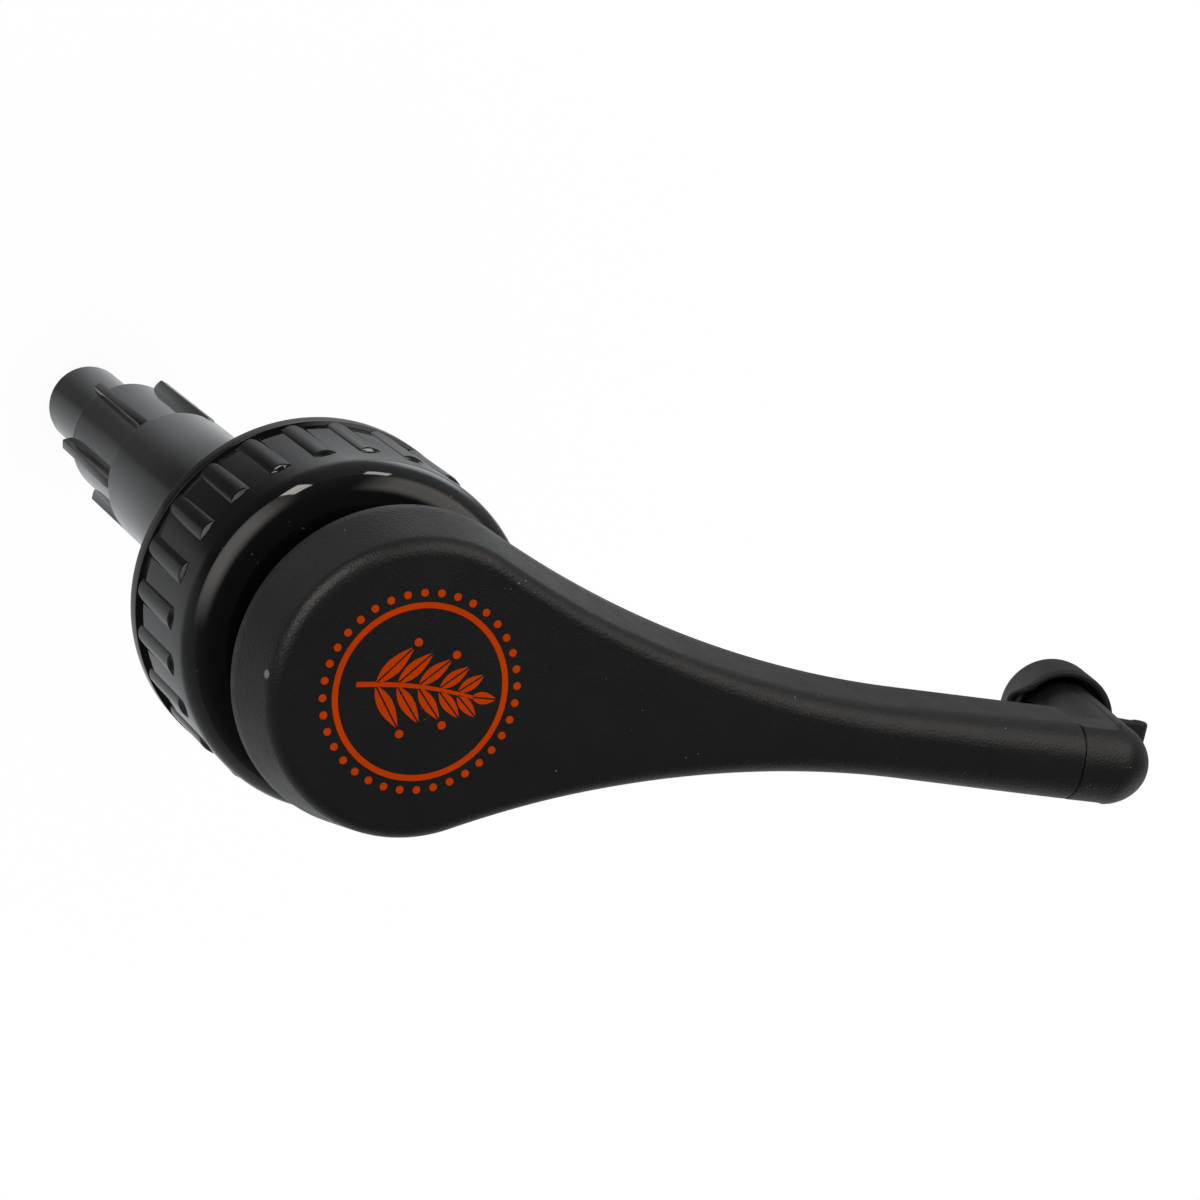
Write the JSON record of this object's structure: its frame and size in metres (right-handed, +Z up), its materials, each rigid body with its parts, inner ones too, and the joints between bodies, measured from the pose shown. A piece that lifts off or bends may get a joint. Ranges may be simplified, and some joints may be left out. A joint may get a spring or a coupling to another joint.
{
  "type": "liquor bottle pump",
  "caption": "Screw-on dispensing pump for a liquor bottle: press-down head with a long spout arm and capped nozzle, ribbed collar and ball-valved piston in a finned barrel.",
  "frame": {"origin": "on the pump's axis, at the underside of the bottle gasket, where the bottle's lip seals", "axes": "+Z up along the pump's axis, away from the bottle; +X along the spout arm in the rest pose"},
  "size_m": [0.1315, 0.044, 0.1457],
  "materials": {
    "satin_black": "satin, fine spark texture",
    "gloss_black": "polished",
    "soft_black": "soft matte",
    "natural_plastic": "natural translucent white",
    "seal_rubber": "matte",
    "gasket": "pale soft foam",
    "steel": "bright stainless"
  },
  "bodies": {
    "housing": {"pump_housing": "gloss_black", "stem_guide": "gloss_black", "stem_seal": "seal_rubber", "bottle_gasket": "gasket", "ball_cage": "natural_plastic"},
    "collar": {"closure_collar": "gloss_black"},
    "plunger": {"piston": "natural_plastic", "return_spring": "steel"},
    "head": {"actuator_head": "satin_black", "nozzle_elbow": "satin_black", "stem": "natural_plastic", "outlet_seat": "natural_plastic", "piston_retainer": "natural_plastic"},
    "cap": {"nozzle_cap": "soft_black"},
    "inlet_valve": {"inlet_ball": "steel"},
    "outlet_valve": {"outlet_ball": "steel"}
  },
  "joints": [
    {"name": "plunge", "type": "slide", "parent": "housing", "child": "plunger", "axis": [0, 0, 1], "range_m": [0, 0.05], "deforming": ["return_spring"]},
    {"name": "head_turn", "type": "hinge", "parent": "plunger", "child": "head", "pos_m": [0, 0, 0], "axis": [0, 0, 1], "continuous": true},
    {"name": "collar_spin", "type": "hinge", "parent": "housing", "child": "collar", "pos_m": [0, 0, 0], "axis": [0, 0, 1], "continuous": true},
    {"name": "cap_pull", "type": "slide", "parent": "head", "child": "cap", "axis": [0.2079, 0, -0.9781], "range_m": [0, 0.012]},
    {"name": "inlet_lift", "type": "slide", "parent": "housing", "child": "inlet_valve", "axis": [0, 0, 1], "range_m": [0, 0.0024]},
    {"name": "outlet_lift", "type": "slide", "parent": "head", "child": "outlet_valve", "axis": [0, 0, 1], "range_m": [0, 0.002]}
  ]
}
